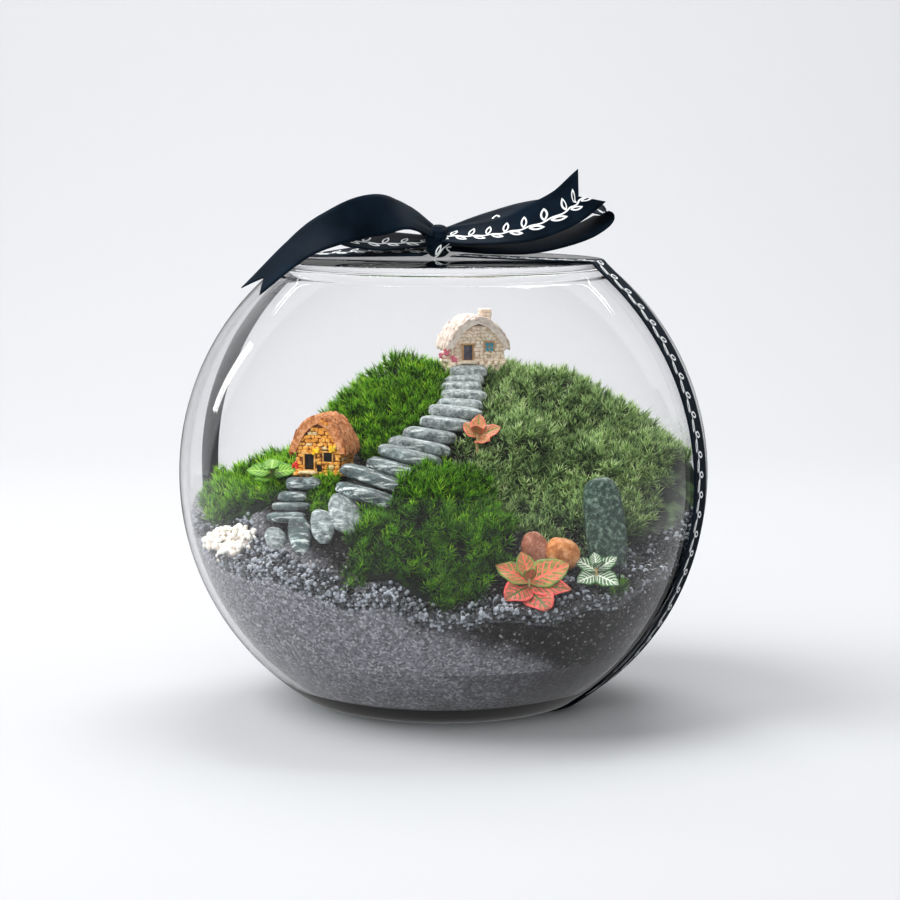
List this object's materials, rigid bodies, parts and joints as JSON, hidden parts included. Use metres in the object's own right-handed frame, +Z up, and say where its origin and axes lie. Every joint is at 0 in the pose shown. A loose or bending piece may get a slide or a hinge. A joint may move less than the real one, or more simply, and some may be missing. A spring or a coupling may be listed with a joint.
{
  "type": "glass plant terrarium",
  "caption": "Round lidded glass bowl planted with a moss hill, a stone stair and tiny cottages, tied with a ribbon bow.",
  "frame": {"origin": "centre of the underside, on the surface that the bowl stands on", "axes": "+Z up, -Y towards the front of the planting, +X to its right"},
  "size_m": [0.2498, 0.2498, 0.2536],
  "materials": {
    "clear_glass": "polished clear soda-lime glass",
    "grey_gravel": "small dull grey grains",
    "dark_soil": null,
    "black_gravel": "glossy black 2-3 mm grains",
    "slate": "water-worn grey-green slate with pale streaks",
    "green_stone": "mottled dark green stone, satin",
    "orange_stone": "speckled orange pebble",
    "brown_stone": "pinkish brown pebble",
    "painted_resin": "cast resin painted as orange stonework",
    "painted_resin_pale": "cast resin painted as pale stonework",
    "red_leaf": null,
    "green_leaf": null,
    "lichen": null,
    "moss": null,
    "printed_ribbon": "navy satin ribbon with a white leaf print"
  },
  "bodies": {
    "root": {"bowl": "clear_glass", "lid": "clear_glass", "drainage_gravel": "grey_gravel", "soil": "dark_soil", "top_gravel": "black_gravel", "cottage_lower": "painted_resin", "cottage_upper": "painted_resin_pale", "standing_stone": "green_stone", "pebble_orange": "orange_stone", "pebble_brown": "brown_stone", "fittonia_red": "red_leaf", "fittonia_white": "green_leaf", "fittonia_pink": "red_leaf", "fittonia_left": "green_leaf", "white_lichen": "lichen", "moss_right_hill": "moss", "moss_left_hill": "moss", "moss_left_low": "moss", "moss_front": "moss", "moss_tuft_1": "moss", "moss_tuft_2": "moss", "moss_tuft_3": "moss", "ribbon_band": "printed_ribbon", "ribbon_knot": "printed_ribbon", "bow_tail_left": "printed_ribbon", "bow_tail_right": "printed_ribbon", "bow_loop_left": "printed_ribbon", "bow_loop_right": "printed_ribbon", "stair_stone_01": "slate", "stair_stone_02": "slate", "stair_stone_03": "slate", "stair_stone_04": "slate", "stair_stone_05": "slate", "stair_stone_06": "slate", "stair_stone_07": "slate", "stair_stone_08": "slate", "stair_stone_09": "slate", "stair_stone_10": "slate", "stair_stone_11": "slate", "stair_stone_12": "slate", "stair_stone_13": "slate", "stair_slab": "slate", "flagstone_1": "slate", "flagstone_2": "slate", "flagstone_3": "slate", "side_step_1": "slate", "side_step_2": "slate", "side_step_3": "slate", "side_step_4": "slate"}
  },
  "joints": []
}
